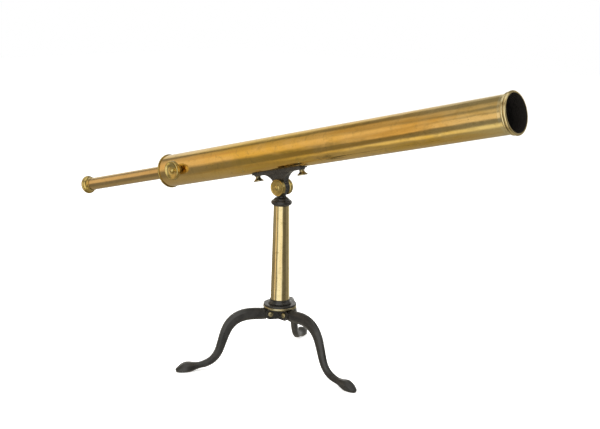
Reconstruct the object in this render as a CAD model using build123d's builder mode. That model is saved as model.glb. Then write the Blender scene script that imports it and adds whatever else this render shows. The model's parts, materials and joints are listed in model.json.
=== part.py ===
from build123d import *
import os
from math import acos, asin, cos, pi, radians, sin, tan

# Brass table telescope on an iron tripod whose three legs fold.
# Frame: +Z up, +X the way the tube points, origin on the table under the middle of the whole object.
# Millimetres. Along the tube, distances are counted from the foot of the perpendicular dropped on
# the tube's axis from the tilt pivot, positive towards the objective.

# ---- driving dimensions ----------------------------------------------------------------------------
PILLAR_X = 55.9             # where the pillar stands
PILLAR_Y = -7.0
TILT = 13.69                # the tube's rise above level, degrees

PIVOT_HEIGHT = 430.9        # tilt pivot above the table
AXIS_RISE = 79.3            # tube axis above the tilt pivot, square to the tube

TUBE_R = 40.0
TUBE_WALL = 1.2
TUBE_FROM = -365.4
TUBE_TO = 609.4
EYE_FACE = -369.4           # outer face of the cap on the eye end
MOUTH_FACE = 629.5          # front of the rolled rim
MOUTH_R = 39.6              # clear bore of the rim, where a lens cap seats
MOUTH_DEPTH = 17.5
FREE = 0.05                 # radial play of a running fit

DRAW_R = 16.3
DRAW_WALL = 0.8
DRAW_FROM = -697.0
DRAW_TO = -205.0
GUIDE_TO = -240.0           # inner end of the slotted guide
GUIDE_R = 19.0
EYE_RIM = -710.6            # outer face of the eyepiece flange

FOCUS_AT = -300.6           # where the focus arbor crosses the tube axis
MODULE = 0.8
PINION_TEETH = 15
ADDENDUM = 0.6
DEDENDUM = 0.8
TOOTH = 1.10                # tooth thickness on the pitch line, backlash taken off
GEAR_NEAR = 20.2            # the gear's two faces, from the tube's middle plane
GEAR_FAR = 26.0
RACK_FROM = -361.0
RACK_TO = -232.0
RACK_BACK = -10.5           # underside of the rack, from the tube axis
ARBOR_R = 3.0
KNOB_R = 23.5
KNOB_BASE = 47.2            # knob's inner and outer faces, from the tube's middle plane
KNOB_FACE = 59.4

ARM_REACH = 75.0            # half-length of saddle and cradle
ARM_TOP = -42.9             # plane where the cradle meets the saddle, from the tube axis
ARM_UNDER = -45.8
THUMB_AT = 69.0             # thumbscrews, either side of the pivot
THUMB_R = 2.5
CHEEK_R = 18.0
CHEEK_OUT = 8.0             # outer face of a cheek, from the middle plane
CHEEK_IN = 4.0
TONGUE_R = 17.5
TONGUE_HALF = 3.6
BOLT_R = 4.0
DISC_R = 19.4
DISC_FACE = 18.4

PILLAR_FROM = 163.5
PILLAR_TO = 388.0
PILLAR_FOOT_R = 22.4
PILLAR_TOP_R = 18.2
PLUG_R = 14.6
SPINDLE_R = 6.0
GROOVE_AT = 372.0           # spindle groove, and the screw that runs in it
ROD_R = 4.0

FLANGE_R = 39.6
FLANGE_FROM = 142.6
PLATE_FROM = 148.7
PLATE_TO = 153.0
HUB_FROM = 116.0
NUT_SEAT = 124.0            # bottom of the hub's counterbore, where the tie nut bears
NUT_ROOM = 8.6

HINGE_REACH = 25.0          # leg hinge, from the pillar axis
HINGE_HEIGHT = 129.0
HINGE_R = 2.5
LUG_IN = 4.8
LUG_OUT = 10.4
LEGS = {"left": 236.4, "right": 354.8, "rear": 116.2}   # which way each leg points, degrees

# Leg centreline from hub to toe: reach, height, thickness, width.
LEG_STATIONS = [
    (34.0, 128.9, 26.4, 17.0),
    (60.0, 130.0, 27.4, 17.0),
    (84.0, 129.0, 27.6, 17.0),
    (106.0, 121.4, 26.8, 17.0),
    (123.4, 105.0, 25.0, 16.5),
    (134.0, 83.0, 22.6, 16.0),
    (141.8, 59.4, 20.4, 16.0),
    (150.6, 38.4, 18.8, 15.5),
    (164.2, 23.4, 17.2, 15.5),
    (181.3, 15.6, 15.6, 15.5),
    (196.0, 12.8, 14.4, 16.5),
    (211.0, 11.0, 20.6, 23.0),
    (225.0, 9.6, 24.4, 27.0),
    (236.0, 6.8, 19.6, 22.8),
    (244.0, 4.2, 12.0, 16.0),
    (248.4, 2.6, 5.6, 8.4),
]
LEG_SECTIONS = 40
BEVEL = 0.27                # share of a leg's thickness and width taken by the bevel at each corner

os.makedirs("parts", exist_ok=True)

# ---- working planes --------------------------------------------------------------------------------
UP = Vector(0, 0, 1)
NEAR = Vector(0, -1, 0)     # towards the focus knob's side
POINTING = Vector(cos(radians(TILT)), 0, sin(radians(TILT)))
LIFT = Vector(-sin(radians(TILT)), 0, cos(radians(TILT)))   # square to the tube, upwards

FOOTPRINT = Vector(PILLAR_X, PILLAR_Y, 0)
PIVOT = FOOTPRINT + UP * PIVOT_HEIGHT


def lathe(centre, along, outward):
    """Plane for a turned profile: its x runs along the axis, its y is the radius."""
    return Plane(origin=centre, x_dir=along, z_dir=along.cross(outward))


SIDE = lathe(PIVOT + LIFT * AXIS_RISE, POINTING, LIFT)     # the tube's middle plane
STAND = lathe(FOOTPRINT, UP, Vector(1, 0, 0))


def on_tube(along, rise=0.0):
    """A point of the tube's middle plane."""
    return SIDE.from_local_coords(Vector(along, rise, 0))


def across(along):
    """Plane square to the tube: x towards +Y, y square to the tube and up."""
    return Plane(origin=on_tube(along), x_dir=Vector(0, 1, 0), z_dir=POINTING)


FOCUS = lathe(on_tube(FOCUS_AT), NEAR, POINTING)
BOLT = lathe(PIVOT, NEAR, POINTING)
FAR_BOLT = lathe(PIVOT, NEAR * -1, POINTING)


def turn(plane, points, mode=Mode.ADD):
    """Turn a closed outline of (distance along the axis, radius) points about the plane's x axis."""
    with BuildSketch(plane) as outline:
        with BuildLine():
            Polyline(*points, close=True)
        make_face()
    revolve(outline.sketch, axis=Axis(plane.origin, plane.x_dir), mode=mode)


def ring(plane, start, end, inner, outer, mode=Mode.ADD):
    """A turned ring, or a plain round bar where the inner radius is 0."""
    turn(plane, [(start, inner), (start, outer), (end, outer), (end, inner)], mode)


def slab(plane, corner, opposite, depth, both=False, mode=Mode.ADD):
    """A rectangle given by two corners on the plane, extruded off it."""
    with BuildSketch(plane) as outline:
        with Locations(((corner[0] + opposite[0]) / 2, (corner[1] + opposite[1]) / 2)):
            Rectangle(abs(opposite[0] - corner[0]), abs(opposite[1] - corner[1]))
    extrude(outline.sketch, amount=depth, both=both, mode=mode)


def dome(edge, radius, crown):
    """Arc of a ball surface in a turned outline, from its edge to its crown on the axis."""
    height = crown - edge
    ball = (radius ** 2 + height ** 2) / (2 * height)
    half = asin(radius / abs(ball)) / 2
    middle = (crown - ball + ball * cos(half), abs(ball) * sin(half))
    return ThreePointArc((edge, radius), middle, (crown, 0))


def rims(part, radius):
    """The part's circular edges of one radius."""
    return [e for e in part.edges().filter_by(GeomType.CIRCLE) if abs(e.radius - radius) < 0.01]


def cut_slot(plane, floor, reach, width):
    """Cut a driver slot across a screw head that stands on a turning plane's axis."""
    across_head = Plane(origin=plane.from_local_coords(Vector(floor, 0, 0)), x_dir=plane.y_dir, z_dir=plane.x_dir)
    slab(across_head, (-reach, -width / 2), (reach, width / 2), 4.0, mode=Mode.SUBTRACT)


def save(builder, name):
    """Label a finished piece and write it."""
    builder.part.label = name
    export_step(builder.part, f"parts/{name}.step")


# ---- stand -----------------------------------------------------------------------------------------
with BuildPart() as pillar:
    turn(STAND, [(PILLAR_FROM, 19.2), (PILLAR_FROM, PILLAR_FOOT_R), (PILLAR_TO, PILLAR_TOP_R),
                 (PILLAR_TO, PLUG_R), (345.0, PLUG_R), (340.0, 15.6)])
    with BuildSketch(Plane(origin=FOOTPRINT + UP * GROOVE_AT, x_dir=Vector(1, 0, 0), z_dir=NEAR * -1)):
        Circle(2.5)
    extrude(amount=PILLAR_TOP_R + 2, mode=Mode.SUBTRACT)
save(pillar, "pillar")

with BuildPart() as top_plug:
    turn(STAND, [(345.0, ROD_R), (345.0, PLUG_R - 0.02), (PILLAR_TO, PLUG_R - 0.02),
                 (PILLAR_TO, SPINDLE_R + FREE), (354.5, SPINDLE_R + FREE), (354.5, ROD_R)])
    with BuildSketch(Plane(origin=FOOTPRINT + UP * GROOVE_AT, x_dir=Vector(1, 0, 0), z_dir=NEAR * -1)):
        Circle(2.5)
    extrude(amount=PILLAR_TOP_R + 2, mode=Mode.SUBTRACT)
save(top_plug, "top_plug")

with BuildPart() as azimuth_screw:
    BACKWARD = lathe(FOOTPRINT + UP * GROOVE_AT, NEAR * -1, Vector(1, 0, 0))
    seat = PILLAR_TOP_R + 0.5
    turn(BACKWARD, [(4.9, 0), (4.9, 1.6), (6.6, 1.6), (6.6, 2.5), (seat, 2.5), (seat, 3.6),
                    (seat + 0.8, 3.6), (seat + 1.5, 2.6), (seat + 1.5, 0)])
    cut_slot(BACKWARD, seat + 0.7, 3.8, 0.8)
save(azimuth_screw, "azimuth_screw")

with BuildPart() as pillar_foot:
    turn(STAND, [(PLATE_TO, ROD_R + 0.3), (PLATE_TO, 27.2), (154.6, 27.6), (156.2, 27.0), (158.2, 25.0),
                 (160.5, 24.0), (162.6, 24.2), (PILLAR_FROM, 23.4), (PILLAR_FROM, 18.6),
                 (170.0, 18.2), (170.0, ROD_R + 0.3)])
save(pillar_foot, "pillar_foot")

with BuildPart() as base_plate:
    ring(STAND, PLATE_FROM, PLATE_TO, ROD_R + 0.3, FLANGE_R - 0.6)
    fillet(rims(base_plate.part, FLANGE_R - 0.6), radius=1.4)
save(base_plate, "base_plate")

with BuildPart() as base_ring:
    ring(STAND, FLANGE_FROM, PLATE_FROM, ROD_R + 0.3, FLANGE_R)
    fillet(rims(base_ring.part, FLANGE_R), radius=2.6)
save(base_ring, "base_ring")


def leg_plane(heading):
    """Vertical plane of a leg: x is the reach from the pillar axis, y is the height."""
    outward = Vector(cos(radians(heading)), sin(radians(heading)), 0)
    return Plane(origin=FOOTPRINT, x_dir=outward, z_dir=outward.cross(UP))


def hinge_lathe(heading, side):
    """Turning plane of a leg's hinge: side +1 runs to the screw head, -1 to the nut."""
    plane = leg_plane(heading)
    centre = plane.from_local_coords(Vector(HINGE_REACH, HINGE_HEIGHT, 0))
    return lathe(centre, plane.z_dir * -side, plane.x_dir)


with BuildPart() as hub:
    ring(STAND, HUB_FROM, FLANGE_FROM, 0, 11.5)
    for heading in LEGS.values():
        plane = leg_plane(heading)
        with BuildSketch(plane) as lug:
            with Locations((HINGE_REACH, HINGE_HEIGHT)):
                Circle(13.0)
            with Locations((HINGE_REACH / 2, (HUB_FROM + FLANGE_FROM) / 2)):
                Rectangle(HINGE_REACH, FLANGE_FROM - HUB_FROM)
        extrude(lug.sketch, amount=LUG_OUT, both=True)
    for heading in LEGS.values():
        plane = leg_plane(heading)
        slab(plane, (11.6, HUB_FROM - 1), (40, FLANGE_FROM + 1), LUG_IN, both=True, mode=Mode.SUBTRACT)
        with BuildSketch(plane) as pin_hole:
            with Locations((HINGE_REACH, HINGE_HEIGHT)):
                Circle(HINGE_R)
        extrude(pin_hole.sketch, amount=LUG_OUT + 1, both=True, mode=Mode.SUBTRACT)
    ring(STAND, HUB_FROM - 1, FLANGE_FROM + 1, 0, ROD_R + 0.3, mode=Mode.SUBTRACT)
    ring(STAND, HUB_FROM - 1, NUT_SEAT, 0, NUT_ROOM, mode=Mode.SUBTRACT)
save(hub, "hub")

with BuildPart() as leg_pins:
    for heading in LEGS.values():
        turn(hinge_lathe(heading, 1), [(-LUG_OUT - 2.6, 0), (-LUG_OUT - 2.6, HINGE_R), (LUG_OUT, HINGE_R),
                                       (LUG_OUT, 6.2), (LUG_OUT + 1.4, 6.2), (LUG_OUT + 1.7, 5.6),
                                       (LUG_OUT + 2.3, 5.6), (LUG_OUT + 2.6, 6.0), (LUG_OUT + 3.4, 5.6),
                                       (LUG_OUT + 4.2, 3.6), (LUG_OUT + 4.4, 0)])
        cut_slot(hinge_lathe(heading, 1), LUG_OUT + 3.1, 6.4, 1.3)
save(leg_pins, "leg_pins")

with BuildPart() as leg_pin_nuts:
    for heading in LEGS.values():
        turn(hinge_lathe(heading, -1), [(LUG_OUT, HINGE_R), (LUG_OUT, 6.0), (LUG_OUT + 2.6, 6.0),
                                        (LUG_OUT + 3.6, 5.0), (LUG_OUT + 4.2, 3.0), (LUG_OUT + 4.3, 0),
                                        (LUG_OUT + 2.7, 0), (LUG_OUT + 2.7, HINGE_R)])
save(leg_pin_nuts, "leg_pin_nuts")

with BuildPart() as tie_rod:
    ring(STAND, HUB_FROM + 0.4, 353.5, 0, ROD_R)
    chamfer(rims(tie_rod.part, ROD_R), length=0.8)
save(tie_rod, "tie_rod")

with BuildPart() as tie_nut:
    with BuildSketch(Plane(origin=FOOTPRINT + UP * (NUT_SEAT - 6.5))):
        RegularPolygon(radius=7.2, side_count=6)
        Circle(ROD_R, mode=Mode.SUBTRACT)
    extrude(amount=6.5)
save(tie_nut, "tie_nut")

# ---- legs ------------------------------------------------------------------------------------------


def leg_curve(column):
    """The leg's centreline in its plane, carrying a hundredth of one station size as its third coordinate."""
    with BuildLine(mode=Mode.PRIVATE) as curve:
        Spline(*[(station[0], station[1], station[column] / 100) for station in LEG_STATIONS])
    return curve.line


def leg_section(plane, centre, along, thickness, width):
    """Bevelled section of a leg, square to its centreline."""
    heading = plane.x_dir * along.X + plane.y_dir * along.Y
    middle = plane.from_local_coords(Vector(centre.X, centre.Y, 0))
    side, top = width / 2, thickness / 2
    inset, drop = side - BEVEL * width, top - BEVEL * thickness
    with BuildSketch(Plane(origin=middle, x_dir=plane.z_dir * -1, z_dir=heading)) as section:
        with BuildLine():
            Polyline((side, drop), (inset, top), (-inset, top), (-side, drop), (-side, -drop), (-inset, -top),
                     (inset, -top), (side, -drop), close=True)
        make_face()
        fillet(section.vertices(), radius=0.09 * min(width, thickness))
    return section.sketch


GIRTH = leg_curve(2)
BREADTH = leg_curve(3)

for leg_name, heading in LEGS.items():
    plane = leg_plane(heading)
    sections = []
    for step in range(LEG_SECTIONS + 1):
        share = step / LEG_SECTIONS
        centre = GIRTH @ share
        sections.append(leg_section(plane, centre, GIRTH % share, centre.Z * 100, (BREADTH @ share).Z * 100))
    with BuildPart() as leg:
        loft(sections)
        slab(Plane(origin=FOOTPRINT, x_dir=plane.x_dir, z_dir=UP * -1), (180, -20), (270, 20), 20,
             mode=Mode.SUBTRACT)
        with BuildSketch(plane) as knuckle_room:
            with Locations((HINGE_REACH, HINGE_HEIGHT)):
                Circle(13.7)
        extrude(knuckle_room.sketch, amount=20, both=True, mode=Mode.SUBTRACT)
        with BuildSketch(plane) as tongue:
            with Locations((HINGE_REACH, HINGE_HEIGHT)):
                Circle(12.4)
            with Locations((HINGE_REACH + 8.5, HINGE_HEIGHT)):
                Rectangle(17, 22)
        extrude(tongue.sketch, amount=LUG_IN - 0.3, both=True)
        with BuildSketch(plane) as pin_bore:
            with Locations((HINGE_REACH, HINGE_HEIGHT)):
                Circle(HINGE_R + FREE)
        extrude(pin_bore.sketch, amount=20, both=True, mode=Mode.SUBTRACT)
    save(leg, f"leg_{leg_name}")

# ---- head that turns on the pillar -----------------------------------------------------------------
with BuildPart() as head:
    with BuildSketch(STAND) as collar:
        with BuildLine():
            Polyline((356.0, 0), (356.0, SPINDLE_R), (369.8, SPINDLE_R), (369.8, 4.6), (374.2, 4.6),
                     (374.2, SPINDLE_R), (PILLAR_TO + 0.3, SPINDLE_R), (PILLAR_TO + 0.3, 18.2), (389.4, 18.2))
            ThreePointArc((389.4, 18.2), (395.6, 24.4), (401.6, 19.0))
            ThreePointArc((401.6, 19.0), (405.2, 16.4), (408.0, 11.4))
            Polyline((408.0, 11.4), (410.0, 10.8), (410.0, 0), (356.0, 0))
        make_face()
    revolve(collar.sketch, axis=Axis(STAND.origin, UP))
    with BuildSketch(Plane(origin=PIVOT, x_dir=Vector(1, 0, 0), z_dir=NEAR)) as tongue:
        Circle(TONGUE_R)
        with Locations((0, -14.0)):
            Rectangle(19.6, 22.0)
    extrude(tongue.sketch, amount=TONGUE_HALF, both=True)
    ring(BOLT, -TONGUE_HALF - 1, TONGUE_HALF + 1, 0, BOLT_R + FREE, mode=Mode.SUBTRACT)
save(head, "head")

# ---- cradle and tilt joint -------------------------------------------------------------------------
with BuildPart() as cradle:
    slab(SIDE, (-ARM_REACH, ARM_UNDER), (ARM_REACH, ARM_TOP), 11.5, both=True)
    ends = cradle.edges().filter_by(Axis(PIVOT, LIFT))
    fillet(ends, radius=9.0)
    with BuildSketch(SIDE) as web:
        with BuildLine():
            Polyline((-56, ARM_UNDER + 1), (56, ARM_UNDER + 1), (56, ARM_UNDER - 0.4))
            ThreePointArc((56, ARM_UNDER - 0.4), (31, -50.2), (17.4, -64.0))
            Polyline((17.4, -64.0), (16.0, -74.0), (-16.0, -74.0), (-17.4, -64.0))
            ThreePointArc((-17.4, -64.0), (-31, -50.2), (-56, ARM_UNDER - 0.4))
            Line((-56, ARM_UNDER - 0.4), (-56, ARM_UNDER + 1))
        make_face()
    extrude(web.sketch, amount=CHEEK_OUT, both=True)
    with BuildSketch(SIDE) as cheeks:
        with Locations((0, -AXIS_RISE)):
            Circle(CHEEK_R)
        with Locations((0, -AXIS_RISE + 12)):
            Rectangle(24, 14)
    extrude(cheeks.sketch, amount=CHEEK_OUT, both=True)
    with BuildSketch(SIDE) as slot:
        with Locations((0, -AXIS_RISE)):
            Circle(CHEEK_R + 0.6)
    extrude(slot.sketch, amount=CHEEK_IN, both=True, mode=Mode.SUBTRACT)
    ring(BOLT, -CHEEK_OUT - 1, CHEEK_OUT + 1, 0, BOLT_R, mode=Mode.SUBTRACT)
    for along in (-THUMB_AT, THUMB_AT):
        ring(lathe(on_tube(along), LIFT * -1, POINTING), 40.0, 50.0, 0, THUMB_R + 0.3, mode=Mode.SUBTRACT)
save(cradle, "cradle")

DISC_OUTLINE = [(CHEEK_OUT, DISC_R - 1.0), (CHEEK_OUT + 1.0, DISC_R), (DISC_FACE - 1.2, DISC_R),
                (DISC_FACE - 0.3, DISC_R - 0.5), (DISC_FACE, DISC_R - 1.3), (DISC_FACE - 0.2, DISC_R - 2.4),
                (DISC_FACE - 1.2, DISC_R - 3.4), (DISC_FACE - 1.4, 6.4), (DISC_FACE - 0.8, 5.6),
                (DISC_FACE + 0.2, 4.8), (DISC_FACE + 0.7, 3.0), (DISC_FACE + 0.9, 0)]

with BuildPart() as altitude_bolt:
    turn(BOLT, [(-DISC_FACE + 1.6, 0), (-DISC_FACE + 1.6, BOLT_R), (CHEEK_OUT, BOLT_R)] + DISC_OUTLINE)
save(altitude_bolt, "altitude_bolt")

with BuildPart() as altitude_nut:
    turn(FAR_BOLT, [(DISC_FACE - 1.6, 0), (DISC_FACE - 1.6, BOLT_R), (CHEEK_OUT, BOLT_R)] + DISC_OUTLINE)
save(altitude_nut, "altitude_nut")

with BuildPart() as friction_washers:
    for plane in (BOLT, FAR_BOLT):
        ring(plane, TONGUE_HALF + 0.05, CHEEK_IN, BOLT_R + FREE, TONGUE_R - 0.6)
save(friction_washers, "friction_washers")

with BuildPart() as saddle:
    with BuildSketch(across(-ARM_REACH)) as strip:
        with Locations((0, (ARM_TOP - 36.0) / 2)):
            Rectangle(26.0, -36.0 - ARM_TOP)
        Circle(TUBE_R + FREE, mode=Mode.SUBTRACT)
    extrude(strip.sketch, amount=2 * ARM_REACH)
    for along in (-THUMB_AT, THUMB_AT):
        ring(lathe(on_tube(along), LIFT * -1, POINTING), 36.0, 50.0, 0, THUMB_R + 0.3, mode=Mode.SUBTRACT)
save(saddle, "saddle")

LINER_REACH = 92.0
SCREW_AT = 88.0
SCREW_ANGLE = 43.5          # from straight below the tube axis
LINER_R = TUBE_R - TUBE_WALL - FREE


def screw_lathes():
    """Turning planes of the liner's screws, which point out of the tube's axis."""
    for along in (-SCREW_AT, SCREW_AT):
        for side in (-1, 1):
            out = LIFT * -cos(radians(SCREW_ANGLE)) + NEAR * side * sin(radians(SCREW_ANGLE))
            yield lathe(on_tube(along), out, POINTING)


with BuildPart() as saddle_liner:
    with BuildSketch(across(-LINER_REACH)) as sector:
        Circle(LINER_R)
        Circle(LINER_R - 2.1, mode=Mode.SUBTRACT)
        with BuildLine():
            Polyline((0, 0), (60 * tan(radians(52)), -60), (-60 * tan(radians(52)), -60), close=True)
        make_face(mode=Mode.INTERSECT)
    extrude(sector.sketch, amount=2 * LINER_REACH)
    for along in (-THUMB_AT, THUMB_AT):
        ring(lathe(on_tube(along), LIFT * -1, POINTING), 30.0, 45.0, 0, THUMB_R + FREE, mode=Mode.SUBTRACT)
    for plane in screw_lathes():
        ring(plane, 30.0, 45.0, 0, 1.4, mode=Mode.SUBTRACT)
save(saddle_liner, "saddle_liner")

with BuildPart() as saddle_screws:
    for plane in screw_lathes():
        turn(plane, [(36.0, 0), (36.0, 1.4), (TUBE_R + FREE, 1.4), (TUBE_R + FREE, 2.7),
                     (TUBE_R + 0.7, 2.6), (TUBE_R + 1.3, 1.8), (TUBE_R + 1.5, 0)])
        cut_slot(plane, TUBE_R + 0.8, 2.8, 0.6)
save(saddle_screws, "saddle_screws")


def thumbscrew(name, along):
    """Brass thumbscrew, flared like a trumpet below the cradle's arm."""
    plane = lathe(on_tube(along), LIFT * -1, POINTING)
    shoulder = 0.3 - ARM_UNDER
    with BuildPart() as screw:
        with BuildSketch(plane) as outline:
            with BuildLine():
                Polyline((36.4, 0), (36.4, THUMB_R), (shoulder, THUMB_R), (shoulder, 6.6),
                         (shoulder + 1.2, 6.8), (shoulder + 1.9, 5.8))
                ThreePointArc((shoulder + 1.9, 5.8), (52.7, 7.6), (55.6, 11.4))
                ThreePointArc((55.6, 11.4), (57.2, 12.1), (58.8, 11.0))
                Polyline((58.8, 11.0), (57.9, 7.5), (57.5, 0), (36.4, 0))
            make_face()
        revolve(outline.sketch, axis=Axis(plane.origin, plane.x_dir))
    save(screw, name)


thumbscrew("thumbscrew_front", THUMB_AT)
thumbscrew("thumbscrew_rear", -THUMB_AT)

# ---- tube and objective ----------------------------------------------------------------------------
with BuildPart() as main_tube:
    ring(SIDE, TUBE_FROM, TUBE_TO, TUBE_R - TUBE_WALL, TUBE_R)
    ring(FOCUS, 30.0, 45.0, 0, 7.1, mode=Mode.SUBTRACT)
    for along in (-THUMB_AT, THUMB_AT):
        ring(lathe(on_tube(along), LIFT * -1, POINTING), 30.0, 45.0, 0, THUMB_R + 0.3, mode=Mode.SUBTRACT)
    for plane in screw_lathes():
        ring(plane, 30.0, 45.0, 0, 1.45, mode=Mode.SUBTRACT)
save(main_tube, "main_tube")

BORE_FROM = MOUTH_FACE - MOUTH_DEPTH

with BuildPart() as mouth_ring:
    with BuildSketch(SIDE) as outline:
        with BuildLine():
            Polyline((600.0, 37.6), (600.0, TUBE_R - TUBE_WALL - FREE), (TUBE_TO, TUBE_R - TUBE_WALL - FREE),
                     (TUBE_TO, TUBE_R), (616.8, TUBE_R))
            ThreePointArc((616.8, TUBE_R), (619.6, 42.8), (622.2, 41.0))
            Line((622.2, 41.0), (623.4, 41.4))
            ThreePointArc((623.4, 41.4), (626.4, 44.2), (MOUTH_FACE, 41.4))
            Polyline((MOUTH_FACE, 41.4), (MOUTH_FACE, MOUTH_R), (BORE_FROM, MOUTH_R), (BORE_FROM, 37.6),
                     (600.0, 37.6))
        make_face()
    revolve(outline.sketch, axis=Axis(SIDE.origin, POINTING))
save(mouth_ring, "mouth_ring")

CELL_FROM = 570.0
LENS_R = 37.5
FLINT_AT = 575.2            # rear face of the flint
CROWN_AT = 582.4            # rear edge of the crown
FRONT_EDGE = 586.4
RIM_BAND = 36.0             # the lenses are figured inside this radius

with BuildPart() as objective_cell:
    turn(SIDE, [(CELL_FROM, RIM_BAND), (CELL_FROM, LINER_R), (599.5, LINER_R), (599.5, LENS_R + 0.1),
                (575.0, LENS_R + 0.1), (575.0, RIM_BAND)])
save(objective_cell, "objective_cell")

with BuildPart() as flint_lens:
    with BuildSketch(SIDE) as outline:
        with BuildLine():
            Polyline((579.9, 0), (FLINT_AT, 0), (FLINT_AT, LENS_R), (CROWN_AT - 0.2, LENS_R),
                     (CROWN_AT - 0.2, RIM_BAND))
            dome(CROWN_AT - 0.2, RIM_BAND, 579.9)
        make_face()
    revolve(outline.sketch, axis=Axis(SIDE.origin, POINTING))
save(flint_lens, "flint_lens")

with BuildPart() as crown_lens:
    with BuildSketch(SIDE) as outline:
        with BuildLine():
            dome(CROWN_AT, RIM_BAND, 580.1)
            Polyline((CROWN_AT, RIM_BAND), (CROWN_AT, LENS_R), (FRONT_EDGE, LENS_R), (FRONT_EDGE, RIM_BAND))
            dome(FRONT_EDGE, RIM_BAND, 588.0)
            Line((588.0, 0), (580.1, 0))
        make_face()
    revolve(outline.sketch, axis=Axis(SIDE.origin, POINTING))
save(crown_lens, "crown_lens")

with BuildPart() as lens_spacers:
    with BuildSketch(across(CROWN_AT - 0.2)) as tabs:
        with PolarLocations((RIM_BAND + LENS_R) / 2, 3, start_angle=90):
            Rectangle(1.2, 4.0)
    extrude(tabs.sketch, amount=0.2)
save(lens_spacers, "lens_spacers")

with BuildPart() as lens_ring:
    ring(SIDE, FRONT_EDGE + 0.05, FRONT_EDGE + 3.6, RIM_BAND, LENS_R + 0.1)
save(lens_ring, "lens_ring")


def tube_stop(name, along, opening):
    """Blackened stop: a disc with a hole and a skirt that grips the tube."""
    with BuildPart() as stop:
        turn(SIDE, [(along, opening), (along, LINER_R), (along + 10, LINER_R), (along + 10, LINER_R - 0.8),
                    (along + 1.2, LINER_R - 0.8), (along + 1.2, opening)])
    save(stop, name)


tube_stop("front_stop", 330.0, 31.0)
tube_stop("middle_stop", 110.0, 25.0)

# ---- eye end, guide and focus bearing --------------------------------------------------------------


def cut_rack_slot():
    """Clear the way for the rack past the drawtube's near side."""
    slab(SIDE.offset(12.0), (EYE_FACE - 20, RACK_BACK - 1.2), (GUIDE_TO + 10, -4.2), 16.0, mode=Mode.SUBTRACT)


with BuildPart() as eye_end_cap:
    turn(SIDE, [(EYE_FACE, GUIDE_R), (EYE_FACE, 42.6), (TUBE_FROM, 42.6), (TUBE_FROM, LINER_R),
                (-350.0, LINER_R), (-350.0, LINER_R - 1.6), (TUBE_FROM, LINER_R - 1.6), (TUBE_FROM, GUIDE_R)])
    fillet(rims(eye_end_cap.part, 42.6), radius=1.7)
    cut_rack_slot()
save(eye_end_cap, "eye_end_cap")

with BuildPart() as guide_sleeve:
    ring(SIDE, EYE_FACE, GUIDE_TO, DRAW_R + FREE, GUIDE_R)
    cut_rack_slot()
save(guide_sleeve, "guide_sleeve")

with BuildPart() as gland_collar:
    turn(SIDE, [(EYE_FACE - 6.5, DRAW_R + FREE), (EYE_FACE - 6.5, 18.6), (EYE_FACE - 5.6, 19.4),
                (EYE_FACE - 2.2, 19.4), (EYE_FACE - 1.4, 20.6), (EYE_FACE, 20.6), (EYE_FACE, DRAW_R + FREE)])
    cut_rack_slot()
save(gland_collar, "gland_collar")

HOUSING_R = 13.0

with BuildPart() as pinion_housing:
    ring(FOCUS, 34.0, 46.2, 0, HOUSING_R)
    ring(SIDE, FOCUS_AT - 20, FOCUS_AT + 20, 0, TUBE_R + FREE, mode=Mode.SUBTRACT)
    ring(FOCUS, 27.6, 46.2, 0, 7.0)
    chamfer(rims(pinion_housing.part, HOUSING_R), length=1.0)
    ring(FOCUS, 20.0, 50.0, 0, ARBOR_R + FREE, mode=Mode.SUBTRACT)
    for along in (-10.0, 10.0):
        ring(lathe(on_tube(FOCUS_AT + along), NEAR, POINTING), 30, 50, 0, 1.2, mode=Mode.SUBTRACT)
save(pinion_housing, "pinion_housing")

with BuildPart() as housing_screws:
    for along in (-10.0, 10.0):
        plane = lathe(on_tube(FOCUS_AT + along), NEAR, POINTING)
        turn(plane, [(TUBE_R + 0.2, 0), (TUBE_R + 0.2, 1.2), (46.2, 1.2), (46.2, 2.0), (46.7, 1.8), (46.8, 0)])
        cut_slot(plane, 46.4, 2.1, 0.5)
save(housing_screws, "housing_screws")

# ---- drawtube, rack and pinion ---------------------------------------------------------------------
PITCH = pi * MODULE
PITCH_R = PINION_TEETH * MODULE / 2
FLANK = tan(radians(20))    # sideways run of a rack tooth's flank for each unit of height

with BuildPart() as drawtube:
    ring(SIDE, DRAW_FROM, DRAW_TO, DRAW_R - DRAW_WALL, DRAW_R)
save(drawtube, "drawtube")

with BuildPart() as rack:
    crest = TOOTH / 2 - ADDENDUM * FLANK
    root = TOOTH / 2 + DEDENDUM * FLANK
    with BuildSketch(SIDE.offset(GEAR_NEAR - 0.2)) as bar:
        with BuildLine():
            points = [(RACK_FROM, RACK_BACK), (RACK_FROM, -PITCH_R - DEDENDUM)]
            gap = int((RACK_FROM - FOCUS_AT) / PITCH)
            while FOCUS_AT + (gap + 1) * PITCH < RACK_TO:
                middle = FOCUS_AT + (gap + 0.5) * PITCH
                points += [(middle - root, -PITCH_R - DEDENDUM), (middle - crest, -PITCH_R + ADDENDUM),
                           (middle + crest, -PITCH_R + ADDENDUM), (middle + root, -PITCH_R - DEDENDUM)]
                gap += 1
            points += [(RACK_TO, -PITCH_R - DEDENDUM), (RACK_TO, RACK_BACK)]
            Polyline(*points, close=True)
        make_face()
    extrude(bar.sketch, amount=GEAR_FAR - GEAR_NEAR + 0.4)
    slab(SIDE.offset(10.0), (RACK_FROM, RACK_BACK), (RACK_TO, RACK_BACK + 2.2), 12.0)
    ring(SIDE, RACK_FROM - 1, RACK_TO + 1, 0, DRAW_R, mode=Mode.SUBTRACT)
save(rack, "rack")


def involute_half_angle(radius):
    """Half the angle that a pinion tooth fills at a radius."""
    base = PITCH_R * cos(radians(20))

    def involute(at):
        angle = acos(min(1.0, base / at))
        return tan(angle) - angle

    return TOOTH / (2 * PITCH_R) + involute(PITCH_R) - involute(max(radius, base))


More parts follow.
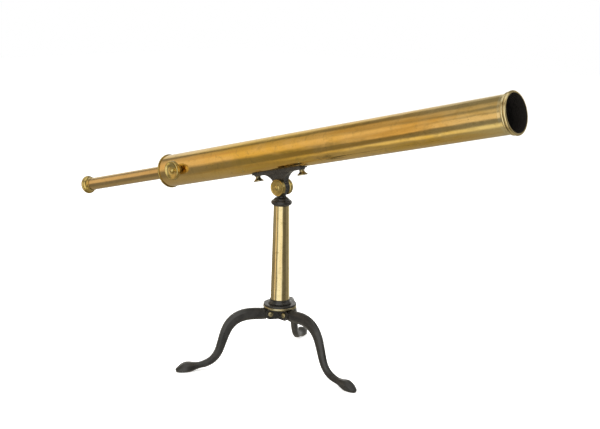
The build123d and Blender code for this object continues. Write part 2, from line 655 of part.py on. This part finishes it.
with BuildPart() as pinion:
    flank = [(r, involute_half_angle(r)) for r in
             (PITCH_R - DEDENDUM, PITCH_R * cos(radians(20)), PITCH_R, PITCH_R + ADDENDUM)]
    outline = []
    for tooth in range(PINION_TEETH):
        middle = 2 * pi * tooth / PINION_TEETH - pi / 2
        outline += [(r * cos(middle - half), r * sin(middle - half)) for r, half in flank]
        outline += [(r * cos(middle + half), r * sin(middle + half)) for r, half in reversed(flank)]
    with BuildSketch(Plane(origin=on_tube(FOCUS_AT), x_dir=POINTING, z_dir=NEAR).offset(GEAR_NEAR)):
        with BuildLine():
            Polyline(*outline, close=True)
        make_face()
    extrude(amount=GEAR_FAR - GEAR_NEAR)
    ring(FOCUS, GEAR_NEAR - 0.4, KNOB_FACE - 4.2, 0, ARBOR_R)
save(pinion, "pinion")

with BuildPart() as focus_knob:
    with BuildSketch(FOCUS) as outline:
        with BuildLine():
            Polyline((KNOB_BASE, ARBOR_R), (KNOB_BASE, 16.0), (KNOB_BASE + 1.6, KNOB_R - 1.2),
                     (KNOB_BASE + 3.0, KNOB_R), (KNOB_FACE - 2.2, KNOB_R))
            ThreePointArc((KNOB_FACE - 2.2, KNOB_R), (KNOB_FACE - 0.2, KNOB_R - 1.0), (KNOB_FACE - 0.4, KNOB_R - 3.4))
            ThreePointArc((KNOB_FACE - 0.4, KNOB_R - 3.4), (KNOB_FACE - 3.6, 13.0), (KNOB_FACE - 4.2, 7.0))
            Polyline((KNOB_FACE - 4.2, 7.0), (KNOB_FACE - 4.2, ARBOR_R), (KNOB_BASE, ARBOR_R))
        make_face()
    revolve(outline.sketch, axis=Axis(FOCUS.origin, NEAR))
    with BuildSketch(Plane(origin=on_tube(FOCUS_AT), x_dir=POINTING, z_dir=NEAR).offset(KNOB_BASE + 3.2)) as mill:
        with PolarLocations(KNOB_R + 0.15, 90):
            Circle(0.5)
    extrude(mill.sketch, amount=KNOB_FACE - KNOB_BASE - 5.6, mode=Mode.SUBTRACT)
save(focus_knob, "focus_knob")

with BuildPart() as knob_nut:
    with BuildSketch(FOCUS) as outline:
        with BuildLine():
            Polyline((KNOB_FACE + 1.2, 0), (KNOB_FACE - 4.2, 0), (KNOB_FACE - 4.2, 6.2), (KNOB_FACE - 3.2, 6.2))
            dome(KNOB_FACE - 3.2, 6.2, KNOB_FACE + 1.2)
        make_face()
    revolve(outline.sketch, axis=Axis(FOCUS.origin, NEAR))
save(knob_nut, "knob_nut")

# ---- eyepiece --------------------------------------------------------------------------------------
ERECTOR_R = DRAW_R - DRAW_WALL - FREE
ERECTOR_BORE = ERECTOR_R - 1.0
CAP_R = 15.4
CAP_TO = EYE_RIM + 12.6     # inner end of the eye cap, in which the eye lens sits

with BuildPart() as eyepiece_mount:
    with BuildSketch(SIDE) as outline:
        with BuildLine():
            Polyline((EYE_RIM + 6.4, 22.2), (EYE_RIM + 6.8, 21.2), (EYE_RIM + 7.8, 21.0))
            ThreePointArc((EYE_RIM + 7.8, 21.0), (-699.0, 18.4), (-693.0, 17.2))
            Polyline((-693.0, 17.2), (-690.6, 17.1), (-690.2, 17.7), (-687.8, 17.7), (-687.4, 17.2),
                     (-687.4, DRAW_R), (DRAW_FROM, DRAW_R), (DRAW_FROM, CAP_R), (EYE_RIM, CAP_R),
                     (EYE_RIM, 22.4))
            ThreePointArc((EYE_RIM, 22.4), (EYE_RIM + 3.2, 24.2), (EYE_RIM + 6.4, 22.2))
        make_face()
    revolve(outline.sketch, axis=Axis(SIDE.origin, POINTING))
save(eyepiece_mount, "eyepiece_mount")

with BuildPart() as eye_cap:
    turn(SIDE, [(EYE_RIM + 2.6, 4.0), (EYE_RIM + 0.8, 12.0), (EYE_RIM + 0.3, CAP_R), (CAP_TO, CAP_R),
                (CAP_TO, 9.1), (CAP_TO - 6.0, 9.1), (CAP_TO - 6.0, 4.0)])
save(eye_cap, "eye_cap")


def convex_lens(name, middle, radius, edge, bulge):
    """Biconvex lens with a straight ground edge."""
    with BuildPart() as lens:
        with BuildSketch(SIDE) as outline:
            with BuildLine():
                Line((middle - bulge, 0), (middle + bulge, 0))
                dome(middle + edge, radius, middle + bulge)
                Line((middle + edge, radius), (middle - edge, radius))
                dome(middle - edge, radius, middle - bulge)
            make_face()
        revolve(outline.sketch, axis=Axis(SIDE.origin, POINTING))
    save(lens, name)


convex_lens("eye_lens", CAP_TO - 3.2, 9.05, 1.0, 2.4)
convex_lens("field_lens", -662.0, ERECTOR_BORE, 1.0, 3.6)
convex_lens("erector_lens_rear", -575.0, ERECTOR_BORE, 1.0, 3.0)
convex_lens("erector_lens_front", -480.0, ERECTOR_BORE, 1.0, 3.0)

with BuildPart() as erector_tube:
    ring(SIDE, DRAW_FROM + 0.2, -462.0, ERECTOR_BORE, ERECTOR_R)
save(erector_tube, "erector_tube")

with BuildPart() as field_stop:
    ring(SIDE, -686.0, -685.0, 8.0, ERECTOR_BORE)
save(field_stop, "field_stop")

with BuildPart() as erector_stop:
    ring(SIDE, -528.0, -527.0, 3.5, ERECTOR_BORE)
save(erector_stop, "erector_stop")
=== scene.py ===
import json
from math import atan2, cos, pi, radians, sin

import bpy
from mathutils import Matrix, Vector

# Brass table telescope: every shape is a CAD node, and this script gives them their finishes, light and view.
# Metres. Patterns are laid in each piece's own object coordinates, so they ride with the piece.

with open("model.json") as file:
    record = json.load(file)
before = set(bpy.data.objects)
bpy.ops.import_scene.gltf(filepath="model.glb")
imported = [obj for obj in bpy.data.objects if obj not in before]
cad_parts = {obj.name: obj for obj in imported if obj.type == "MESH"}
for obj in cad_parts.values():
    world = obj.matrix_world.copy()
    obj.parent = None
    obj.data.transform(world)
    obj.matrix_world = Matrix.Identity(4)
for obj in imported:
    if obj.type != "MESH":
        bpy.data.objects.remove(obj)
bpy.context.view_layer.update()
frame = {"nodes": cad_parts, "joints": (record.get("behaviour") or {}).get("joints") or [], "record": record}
nodes = frame["nodes"]
joints = {joint["name"]: joint for joint in frame["joints"]}
mounts = {mount["name"]: mount for mount in frame["record"]["mounts"]}

# ---- where things are, from the frame --------------------------------------------------------------
PIVOT = Vector(joints["tilt"]["pos_m"])
FOOT = Vector((PIVOT.x, PIVOT.y, 0.0))
POINTING = -Vector(joints["focus_slide"]["axis"]).normalized()
TILT = atan2(POINTING.z, POINTING.x)
MOUTH = Vector(mounts["objective_mouth"]["pos_m"])
MOUTH_BORE = mounts["objective_mouth"]["dims"]["r_mm"] / 1000

# ---- camera ----------------------------------------------------------------------------------------
CAMERA_FROM_FOOT = Vector((1.5708, -1.7949, 0.883))
CAMERA_HEADING = radians(130.15)
CAMERA_PITCH = radians(-12.21)
CAMERA_ROLL = radians(1.17)
FOCAL_LENGTH_MM = 63.0
SENSOR_WIDTH_MM = 36.0


def make_camera():
    """The photograph's view: from the mouth's end and the near side, looking a little down."""
    place = FOOT + CAMERA_FROM_FOOT
    flat = cos(CAMERA_PITCH)
    ahead = Vector((flat * cos(CAMERA_HEADING), flat * sin(CAMERA_HEADING), sin(CAMERA_PITCH)))
    level = ahead.cross(Vector((0, 0, 1))).normalized()
    upright = level.cross(ahead)
    right = level * cos(CAMERA_ROLL) + upright * sin(CAMERA_ROLL)
    up = right.cross(ahead)
    data = bpy.data.cameras.new("camera")
    data.lens = FOCAL_LENGTH_MM
    data.sensor_width = SENSOR_WIDTH_MM
    camera = bpy.data.objects.new("camera", data)
    camera.matrix_world = Matrix((
        (right.x, up.x, -ahead.x, place.x),
        (right.y, up.y, -ahead.y, place.y),
        (right.z, up.z, -ahead.z, place.z),
        (0, 0, 0, 1)))
    bpy.context.scene.collection.objects.link(camera)
    bpy.context.scene.camera = camera


make_camera()
bpy.context.scene.view_settings.view_transform = "Standard"

# ---- node helpers ----------------------------------------------------------------------------------
# The Mix node's colour sockets come after those it has for numbers and vectors.
MIX_SHARE, MIX_FIRST, MIX_SECOND = 0, 6, 7
MIX_RESULT = 2


class Tree:
    """Short calls for building a shader tree. Arguments may be numbers, vectors or sockets."""

    def __init__(self, owner):
        owner.use_nodes = True
        self.tree = owner.node_tree

    def put(self, socket, value):
        if isinstance(value, bpy.types.NodeSocket):
            self.tree.links.new(value, socket)
        elif socket.type == "RGBA":
            socket.default_value = (*value, 1)
        else:
            socket.default_value = value

    def node(self, kind, **options):
        made = self.tree.nodes.new(kind)
        for key, value in options.items():
            setattr(made, key, value)
        return made

    def math(self, operation, *values):
        made = self.node("ShaderNodeMath", operation=operation)
        for socket, value in zip(made.inputs, values):
            self.put(socket, value)
        return made.outputs[0]

    def vector(self, operation, *values):
        made = self.node("ShaderNodeVectorMath", operation=operation)
        for socket, value in zip(made.inputs, values):
            self.put(socket, value)
        return made.outputs["Value" if operation == "DOT_PRODUCT" else "Vector"]

    def fade(self, value, start, end, first=0.0, last=1.0):
        """First before start, last after end, and a smooth step between."""
        made = self.node("ShaderNodeMapRange", interpolation_type="SMOOTHSTEP")
        for socket, given in zip(made.inputs, (value, start, end, first, last)):
            self.put(socket, given)
        return made.outputs[0]

    def mix(self, share, first, second):
        """The first colour at share 0, the second at share 1."""
        made = self.node("ShaderNodeMix", data_type="RGBA")
        self.put(made.inputs[MIX_SHARE], share)
        self.put(made.inputs[MIX_FIRST], first)
        self.put(made.inputs[MIX_SECOND], second)
        return made.outputs[MIX_RESULT]

    def noise(self, place, scale, detail, roughness, distortion=0.0):
        made = self.node("ShaderNodeTexNoise")
        self.put(made.inputs["Vector"], place)
        for key, value in (("Scale", scale), ("Detail", detail), ("Roughness", roughness),
                           ("Distortion", distortion)):
            made.inputs[key].default_value = value
        return made.outputs[0]

    def bump(self, height, distance, normal=None):
        made = self.node("ShaderNodeBump")
        made.inputs["Distance"].default_value = distance
        self.put(made.inputs["Height"], height)
        if normal is not None:
            self.put(made.inputs["Normal"], normal)
        return made.outputs[0]

    def crevice(self, reach):
        """1 in a corner or a gap of about the reach, 0 out in the open."""
        made = self.node("ShaderNodeAmbientOcclusion", samples=6)
        made.inputs["Distance"].default_value = reach
        return self.fade(made.outputs["AO"], start=0.35, end=0.85, first=1.0, last=0.0)

    def edge(self, radius):
        """1 along a sharp edge, 0 on flat metal."""
        made = self.node("ShaderNodeBevel", samples=4)
        made.inputs["Radius"].default_value = radius
        true = self.node("ShaderNodeNewGeometry").outputs["Normal"]
        agreement = self.vector("DOT_PRODUCT", made.outputs[0], true)
        return self.fade(agreement, start=0.90, end=0.99, first=1.0, last=0.0)


# ---- light and floor -------------------------------------------------------------------------------
# Soft panels of the studio as polished metal mirrors them: heading and height of the middle, half-widths
# of each, softness, all in degrees, then colour and strength.
PANELS = {
    "doorway": (3, -14, 22, 34, 7, (1.0, 0.92, 0.76), 0.14),
    "back_floor": (135, -42, 40, 18, 6, (1.0, 0.92, 0.72), 0.36),
    "backdrop": (114, 1, 34, 20, 7, (1.0, 0.98, 0.93), 0.92),
    "pale_wall": (153, 15, 16, 16, 6, (1.0, 0.97, 0.86), 0.85),
    "front": (-60, 6, 31, 44, 8, (1.0, 0.98, 0.93), 1.10),
    "upper_warm": (-162, 34, 14, 12, 7, (1.0, 0.83, 0.60), 0.55),
    "warm_wall": (-150, 10, 22, 16, 9, (1.0, 0.81, 0.57), 0.86),
    "warm_corner": (-118, -4, 9, 13, 4, (1.0, 0.82, 0.60), 0.88),
    "floor_glow": (-108, -52, 28, 9, 6, (1.0, 0.90, 0.62), 0.88),
    "ceiling": (0, 90, 180, 30, 6, (1.0, 0.98, 0.94), 0.90),
    "side": (40, 32, 14, 20, 6, (1.0, 0.98, 0.95), 0.75),
}
ROOM_WALLS = (0.25, 0.235, 0.20)
ROOM_FLOOR = (0.36, 0.33, 0.25)
# Degrees of height: the mirrored room is all floor below the first, all walls above the second.
FLOOR_UP_TO = -52
WALLS_FROM = -36
WHITE = (1, 1, 1)

# Area lights: place, width, height and power.
SOFTBOXES = {
    "key": ((-0.4, -2.4, 2.3), 1.6, 1.0, 34),
    "rim": ((0.9, 2.0, 2.0), 2.0, 0.8, 26),
    "overhead": ((0.0, 0.0, 2.8), 2.4, 1.4, 34),
}
LIGHTS_AIM = Vector((0.05, 0, 0.25))
FLOOR_HALF = 9
FLOOR_COLOUR = (0.9, 0.9, 0.9, 1)
FLOOR_EMISSION = 0.62


def within(tree, distance, half, soft):
    """1 nearer than the half-width, 0 beyond it, with a soft border. The widths are in degrees."""
    return tree.fade(distance, radians(half - soft), radians(half + soft), first=1.0, last=0.0)


def make_world():
    """White surround for the camera, and the panels over a dim room for everything that is lit."""
    world = bpy.data.worlds.new("studio")
    bpy.context.scene.world = world
    tree = Tree(world)
    tree.tree.nodes.clear()
    direction = tree.node("ShaderNodeTexCoord").outputs["Generated"]
    parts = tree.node("ShaderNodeSeparateXYZ")
    tree.put(parts.inputs[0], direction)
    heading = tree.math("ARCTAN2", parts.outputs[1], parts.outputs[0])
    height = tree.math("ARCSINE", parts.outputs[2])
    below = tree.fade(height, radians(FLOOR_UP_TO), radians(WALLS_FROM), first=1.0, last=0.0)
    room = tree.mix(below, ROOM_WALLS, ROOM_FLOOR)
    for azimuth, elevation, half_width, half_height, soft, colour, strength in PANELS.values():
        turned = tree.math("WRAP", tree.math("SUBTRACT", heading, radians(azimuth)), pi, -pi)
        aside = tree.math("ABSOLUTE", turned)
        above = tree.math("ABSOLUTE", tree.math("SUBTRACT", height, radians(elevation)))
        wide = within(tree, aside, half_width, soft)
        tall = within(tree, above, half_height, soft)
        lit = tuple(channel * strength for channel in colour)
        room = tree.mix(tree.math("MULTIPLY", wide, tall), room, lit)
    mirrored = tree.node("ShaderNodeBackground")
    tree.put(mirrored.inputs["Color"], room)
    seen = tree.node("ShaderNodeBackground")
    tree.put(seen.inputs["Color"], WHITE)
    path = tree.node("ShaderNodeLightPath")
    both = tree.node("ShaderNodeMixShader")
    tree.put(both.inputs[0], path.outputs["Is Camera Ray"])
    tree.put(both.inputs[1], mirrored.outputs[0])
    tree.put(both.inputs[2], seen.outputs[0])
    output = tree.node("ShaderNodeOutputWorld")
    tree.put(output.inputs[0], both.outputs[0])


def softbox(name, place, width, height, power):
    """Area light that shapes the dark parts and the shadows; polished metal doesn't mirror it."""
    data = bpy.data.lights.new(name, "AREA")
    data.shape = "RECTANGLE"
    data.size = width
    data.size_y = height
    data.energy = power
    light = bpy.data.objects.new(name, data)
    light.location = place
    light.rotation_euler = (LIGHTS_AIM - light.location).to_track_quat("-Z", "Y").to_euler()
    light.visible_glossy = False
    light.visible_camera = False
    bpy.context.scene.collection.objects.link(light)


def make_floor():
    """White floor that takes the shadows and glows a little, and that polished metal doesn't mirror."""
    mesh = bpy.data.meshes.new("floor")
    near, far = -FLOOR_HALF, FLOOR_HALF
    mesh.from_pydata([(near, near, 0), (far, near, 0), (far, far, 0), (near, far, 0)], [], [(0, 1, 2, 3)])
    floor = bpy.data.objects.new("floor", mesh)
    bpy.context.scene.collection.objects.link(floor)
    material = bpy.data.materials.new("floor")
    material.use_nodes = True
    shader = material.node_tree.nodes["Principled BSDF"]
    shader.inputs["Base Color"].default_value = FLOOR_COLOUR
    shader.inputs["Roughness"].default_value = 1.0
    shader.inputs["Specular IOR Level"].default_value = 0.0
    shader.inputs["Emission Color"].default_value = (*WHITE, 1)
    shader.inputs["Emission Strength"].default_value = FLOOR_EMISSION
    mesh.materials.append(material)
    floor.visible_glossy = False


make_world()
for name, (place, width, height, power) in SOFTBOXES.items():
    softbox(name, place, width, height, power)
make_floor()


# ---- materials -------------------------------------------------------------------------------------
def start(name):
    """A new material with its tree, its Principled shader and the piece's own coordinates."""
    material = bpy.data.materials.new(name)
    tree = Tree(material)
    shader = tree.tree.nodes["Principled BSDF"]
    place = tree.node("ShaderNodeTexCoord").outputs["Object"]
    return material, tree, shader, place


def settings(shader, **values):
    """Constants that hold all over the surface, set on the shader's own sockets."""
    for key, value in values.items():
        shader.inputs[key.replace("_", " ")].default_value = value


def surface(tree, shader, colour, rough, normal=None):
    """What varies from place to place, linked to the shader."""
    tree.put(shader.inputs["Base Color"], colour)
    tree.put(shader.inputs["Roughness"], rough)
    if normal is not None:
        tree.put(shader.inputs["Normal"], normal)


def along_tube(tree, place):
    """The piece's coordinates turned so that x runs along the tube."""
    turned = tree.node("ShaderNodeVectorRotate", rotation_type="Y_AXIS")
    tree.put(turned.inputs["Vector"], place)
    turned.inputs["Angle"].default_value = TILT
    return turned.outputs[0]


def past_mouth(tree, offset):
    """How far an offset from the mouth reaches along the tube; negative behind the mouth."""
    return tree.vector("DOT_PRODUCT", offset, tuple(POINTING))


def from_axis(tree, place):
    """Distance from the tube's axis."""
    offset = tree.vector("SUBTRACT", place, tuple(MOUTH))
    run = past_mouth(tree, offset)
    return tree.math("SQRT", tree.math("SUBTRACT", tree.vector("DOT_PRODUCT", offset, offset),
                                       tree.math("MULTIPLY", run, run)))


# Paler and deeper brass of each palette, then the colour of its broad streaks.
PALE, DEEP, STREAKED = 0, 1, 2
GOLDEN = ((0.88, 0.60, 0.21), (0.84, 0.54, 0.10), (0.77, 0.45, 0.09))
CREAM = ((0.92, 0.78, 0.44), (0.88, 0.71, 0.35), (0.80, 0.60, 0.27))
BROWN = ((0.76, 0.54, 0.25), (0.68, 0.46, 0.19), (0.60, 0.37, 0.13))
OLIVE_GOLD = ((0.74, 0.58, 0.22), (0.64, 0.47, 0.14), (0.54, 0.38, 0.11))
DRAB = ((0.58, 0.52, 0.34), (0.48, 0.42, 0.24), (0.42, 0.36, 0.20))
OLIVE = (0.44, 0.33, 0.11)
TARNISH = (0.11, 0.085, 0.045)
SOOT = (0.012, 0.009, 0.007)

# How each grain squeezes the coordinates, so that a pattern is long where the number is small.
GRAIN = {"tube": (0.06, 1, 1), "up": (1, 1, 0.06), "none": (1, 1, 1)}

# Metres from the mouth along the body tube: it gets paler from PALE_FROM up to the mouth, a painted
# highlight, and browner from BROWN_FROM back to BROWN_FULL and beyond. Both borders wander by WANDER.
PALE_FROM = -0.20
BROWN_FROM = -0.72
BROWN_FULL = -0.98
WANDER = 0.05

LINING_BORDER = 0.0002
BRASS_CREVICE = 0.004
WAVE_DEPTH = 0.0010
STREAK_DEPTH = 0.000035
PIT_DEPTH = 0.00001


def weaker(stretch, least):
    """The stretch made milder: no number of it is left below the least."""
    return tuple(least + (1 - least) * share for share in stretch)


def brass(name, palette, grain, age, gloss, lining=None, ends=False):
    """Lacquered brass. The grain stretches the streaks along a turned or drawn length, and a lining is the
    distance from the tube's axis within which all is black. With ends, the two ends differ in colour: a
    highlight is painted in as a paler colour towards the mouth, and the eye end is browner."""
    material, tree, shader, place = start(name)
    lie = along_tube(tree, place) if grain == "tube" else place
    stretch = GRAIN[grain]
    length = tree.vector("MULTIPLY", lie, stretch)
    drift = tree.vector("MULTIPLY", lie, weaker(stretch, 0.35))
    clouds = tree.noise(drift, scale=14, detail=4, roughness=0.6, distortion=0.6)
    streaks = tree.noise(length, scale=260, detail=4, roughness=0.65)
    broad = tree.noise(length, scale=55, detail=2, roughness=0.5)
    colour = tree.mix(tree.fade(clouds, 0.36, 0.62), palette[DEEP], palette[PALE])
    banded = tree.math("MULTIPLY", tree.fade(broad, 0.48, 0.70), 0.75)
    colour = tree.mix(banded, colour, palette[STREAKED])
    if ends:
        run = past_mouth(tree, tree.vector("SUBTRACT", place, tuple(MOUTH)))
        ragged = tree.math("ADD", run, tree.fade(clouds, 0.3, 0.7, first=-WANDER, last=WANDER))
        # Painted highlight: the tube is made paler towards the mouth, where a highlight falls on it.
        painted_mouth_highlight = tree.fade(ragged, PALE_FROM, 0.0, first=0.0, last=0.85)
        colour = tree.mix(painted_mouth_highlight, colour, CREAM[DEEP])
        browned = tree.fade(ragged, BROWN_FULL, BROWN_FROM, first=0.6, last=0.0)
        colour = tree.mix(browned, colour, BROWN[PALE])
    stains = tree.noise(lie, scale=38, detail=5, roughness=0.7, distortion=1.2)
    colour = tree.mix(tree.fade(stains, 0.50, 0.72, first=0.0, last=0.25 + 0.75 * age), colour, OLIVE)
    dulled = tree.fade(streaks, 0.58, 0.80, first=0.0, last=0.25 + 0.5 * age)
    colour = tree.mix(dulled, colour, OLIVE)
    specks = tree.noise(lie, scale=420, detail=3, roughness=0.5)
    spots = tree.fade(specks, 0.66, 0.74, first=0.0, last=0.55 + 0.4 * age)
    hollows = tree.crevice(BRASS_CREVICE)
    tarnished = tree.math("MAXIMUM", spots, tree.math("MULTIPLY", hollows, 0.85))
    colour = tree.mix(tarnished, colour, TARNISH)
    handled = tree.noise(lie, scale=30, detail=4, roughness=0.7, distortion=0.8)
    rough = tree.fade(handled, 0.35, 0.75, first=gloss, last=gloss + 0.13)
    rough = tree.math("ADD", rough, tree.math("MULTIPLY", hollows, 0.25))
    rough = tree.math("ADD", rough, tree.fade(streaks, 0.5, 0.8, first=0.0, last=0.08))
    if lining is not None:
        inside = tree.fade(from_axis(tree, place), lining, lining + LINING_BORDER, first=1.0, last=0.0)
        colour = tree.mix(inside, colour, SOOT)
        rough = tree.math("MAXIMUM", rough, tree.math("MULTIPLY", inside, 0.8))
        tree.put(shader.inputs["Metallic"], tree.math("SUBTRACT", 1.0, inside))
    else:
        settings(shader, Metallic=1.0)
    swell = tree.vector("MULTIPLY", lie, weaker(stretch, 0.3))
    wave = tree.bump(tree.noise(swell, scale=34, detail=2, roughness=0.4), WAVE_DEPTH)
    skin = tree.bump(streaks, STREAK_DEPTH, normal=wave)
    pits = tree.bump(tree.noise(lie, scale=900, detail=2, roughness=0.5), PIT_DEPTH, normal=skin)
    surface(tree, shader, colour, rough, pits)
    settings(shader, Coat_Weight=0.22, Coat_Roughness=0.14, Coat_IOR=1.42)
    return material


IRON_BLACK = (0.010, 0.0095, 0.009)
IRON_GREY = (0.024, 0.023, 0.021)
IRON_DRAGGED = (0.042, 0.039, 0.034)
IRON_RUBBED = (0.16, 0.13, 0.09)
# Painted shade, laid into the iron's corners and gaps.
IRON_HOLLOW_SHADE = (0.008, 0.007, 0.006)
RUBBED_EDGE = 0.0014
IRON_SHADE_REACH = 0.006
GRAIN_DEPTH = 0.00008


def black_iron(name, gloss, lumpiness):
    """Cast iron under an old black bronzing, rubbed brown on its edges."""
    material, tree, shader, place = start(name)
    clouds = tree.noise(place, scale=32, detail=5, roughness=0.65, distortion=0.5)
    grain = tree.noise(place, scale=700, detail=3, roughness=0.6)
    level = tree.vector("MULTIPLY", place, (1.0, 1.0, 5.0))
    drag = tree.noise(level, scale=170, detail=4, roughness=0.6)
    colour = tree.mix(tree.fade(clouds, 0.35, 0.68), IRON_BLACK, IRON_GREY)
    colour = tree.mix(tree.fade(drag, 0.52, 0.78, first=0.0, last=0.6), colour, IRON_DRAGGED)
    edges = tree.edge(RUBBED_EDGE)
    patches = tree.fade(tree.noise(place, scale=90, detail=4, roughness=0.7), 0.42, 0.66)
    worn = tree.math("MULTIPLY", edges, patches)
    colour = tree.mix(tree.math("MULTIPLY", worn, 0.7), colour, IRON_RUBBED)
    # Painted shade: corners and gaps of the iron are darkened, where shade falls.
    hollows = tree.crevice(IRON_SHADE_REACH)
    colour = tree.mix(tree.math("MULTIPLY", hollows, 0.7), colour, IRON_HOLLOW_SHADE)
    handled = tree.noise(place, scale=60, detail=4, roughness=0.7)
    rough = tree.fade(handled, 0.3, 0.75, first=gloss, last=gloss + 0.18)
    rough = tree.math("SUBTRACT", rough, tree.math("MULTIPLY", worn, 0.05))
    lumps = tree.bump(tree.noise(place, scale=75, detail=3, roughness=0.5), lumpiness)
    skin = tree.bump(grain, GRAIN_DEPTH, normal=lumps)
    surface(tree, shader, colour, rough, skin)
    settings(shader, Metallic=0.0, Specular_IOR_Level=0.62, Coat_Weight=0.2, Coat_Roughness=0.22)
    return material


def steel(name):
    """Bright turned steel with a little rust."""
    material, tree, shader, place = start(name)
    squeezed = tree.vector("MULTIPLY", place, (1.0, 1.0, 12.0))
    rings = tree.noise(squeezed, scale=160, detail=4, roughness=0.6)
    rust = tree.fade(tree.noise(place, scale=210, detail=4, roughness=0.7), 0.60, 0.72, first=0.0, last=0.6)
    colour = tree.mix(tree.fade(rings, 0.3, 0.7), (0.42, 0.42, 0.43), (0.58, 0.57, 0.56))
    colour = tree.mix(rust, colour, (0.16, 0.09, 0.05))
    rough = tree.fade(rings, 0.3, 0.7, first=0.24, last=0.42)
    surface(tree, shader, colour, rough, tree.bump(rings, distance=0.00003))
    settings(shader, Metallic=1.0)
    return material


def blackened(name):
    """Matt black optical paint."""
    material, tree, shader, place = start(name)
    brush = tree.noise(place, scale=340, detail=4, roughness=0.7)
    colour = tree.mix(tree.fade(brush, 0.4, 0.7), (0.010, 0.009, 0.008), (0.020, 0.018, 0.016))
    rough = tree.fade(brush, 0.3, 0.7, first=0.70, last=0.92)
    surface(tree, shader, colour, rough, tree.bump(brush, distance=0.0001))
    settings(shader, Specular_IOR_Level=0.25)
    return material


def glass(name):
    """Old glass seen against the dark tube, with a film and dust."""
    material, tree, shader, place = start(name)
    specks = tree.noise(place, scale=900, detail=3, roughness=0.6)
    dust = tree.fade(specks, 0.62, 0.80, first=0.0, last=0.5)
    film = tree.noise(place, scale=45, detail=4, roughness=0.6, distortion=1.0)
    colour = tree.mix(tree.fade(film, 0.35, 0.7), (0.010, 0.012, 0.012), (0.018, 0.020, 0.018))
    colour = tree.mix(dust, colour, (0.06, 0.055, 0.05))
    rough = tree.math("ADD", tree.fade(film, 0.3, 0.8, first=0.02, last=0.10), dust)
    surface(tree, shader, colour, rough)
    settings(shader, IOR=1.52)
    return material


def leather(name):
    """Brown leather with a fine cellular grain."""
    material, tree, shader, place = start(name)
    cells = tree.node("ShaderNodeTexVoronoi")
    tree.put(cells.inputs["Vector"], place)
    cells.inputs["Scale"].default_value = 900
    grain = cells.outputs["Distance"]
    clouds = tree.noise(place, scale=120, detail=4, roughness=0.6)
    colour = tree.mix(tree.fade(clouds, 0.3, 0.7), (0.06, 0.03, 0.015), (0.13, 0.07, 0.035))
    colour = tree.mix(tree.fade(grain, 0.1, 0.5), (0.03, 0.015, 0.008), colour)
    rough = tree.fade(clouds, 0.3, 0.7, first=0.5, last=0.75)
    surface(tree, shader, colour, rough, tree.bump(grain, distance=0.00015))
    return material


def foil(name):
    """Creased tin foil."""
    material, tree, shader, place = start(name)
    creases = tree.noise(place, scale=800, detail=3, roughness=0.7, distortion=1.5)
    colour = tree.mix(tree.fade(creases, 0.3, 0.7), (0.6, 0.6, 0.6), (0.85, 0.85, 0.84))
    rough = tree.fade(creases, 0.3, 0.7, first=0.18, last=0.4)
    surface(tree, shader, colour, rough, tree.bump(creases, distance=0.0001))
    settings(shader, Metallic=1.0)
    return material


# ---- finishes --------------------------------------------------------------------------------------
# The mouth's lining starts just outside its bore, and the tube's within the thickness of its wall.
MOUTH_LINING = MOUTH_BORE + 0.00005
TUBE_LINING = 0.0392

SLOT_OF = {part["node"]: part["material_slot"] for part in frame["record"]["subparts"]}
FINISH = {
    "brass": brass("brass_turned", OLIVE_GOLD, "none", age=0.45, gloss=0.14),
    "black_iron": black_iron("black_iron", gloss=0.18, lumpiness=0.00012),
    "steel": steel("steel"),
    "blackened": blackened("blackened"),
    "glass": glass("glass"),
    "leather": leather("leather"),
    "foil": foil("foil"),
}
MOUTH_BRASS = brass("brass_mouth", CREAM, "none", age=0.25, gloss=0.10, lining=MOUTH_LINING)
DULL_BRASS = brass("brass_dull", DRAB, "none", age=0.60, gloss=0.44)
SCREW_BRASS = brass("brass_screws", DRAB, "none", age=0.60, gloss=0.20)
LEG_IRON = black_iron("black_iron_legs", gloss=0.27, lumpiness=0.0002)
OWN_FINISH = {
    "main_tube": brass("brass_tube", GOLDEN, "tube", age=0.22, gloss=0.085, lining=TUBE_LINING, ends=True),
    "mouth_ring": MOUTH_BRASS,
    "lens_ring": FINISH["blackened"],
    "drawtube": brass("brass_draw", BROWN, "tube", age=0.20, gloss=0.12),
    "pillar": brass("brass_pillar", CREAM, "up", age=0.28, gloss=0.08),
    "pinion_housing": DULL_BRASS,
    "base_ring": SCREW_BRASS,
    "leg_pins": SCREW_BRASS,
    "leg_pin_nuts": SCREW_BRASS,
    "thumbscrew_front": SCREW_BRASS,
    "thumbscrew_rear": SCREW_BRASS,
    "leg_left": LEG_IRON,
    "leg_right": LEG_IRON,
    "leg_rear": LEG_IRON,
}
for name, node in nodes.items():
    node.data.materials.clear()
    node.data.materials.append(OWN_FINISH.get(name, FINISH[SLOT_OF[name]]))
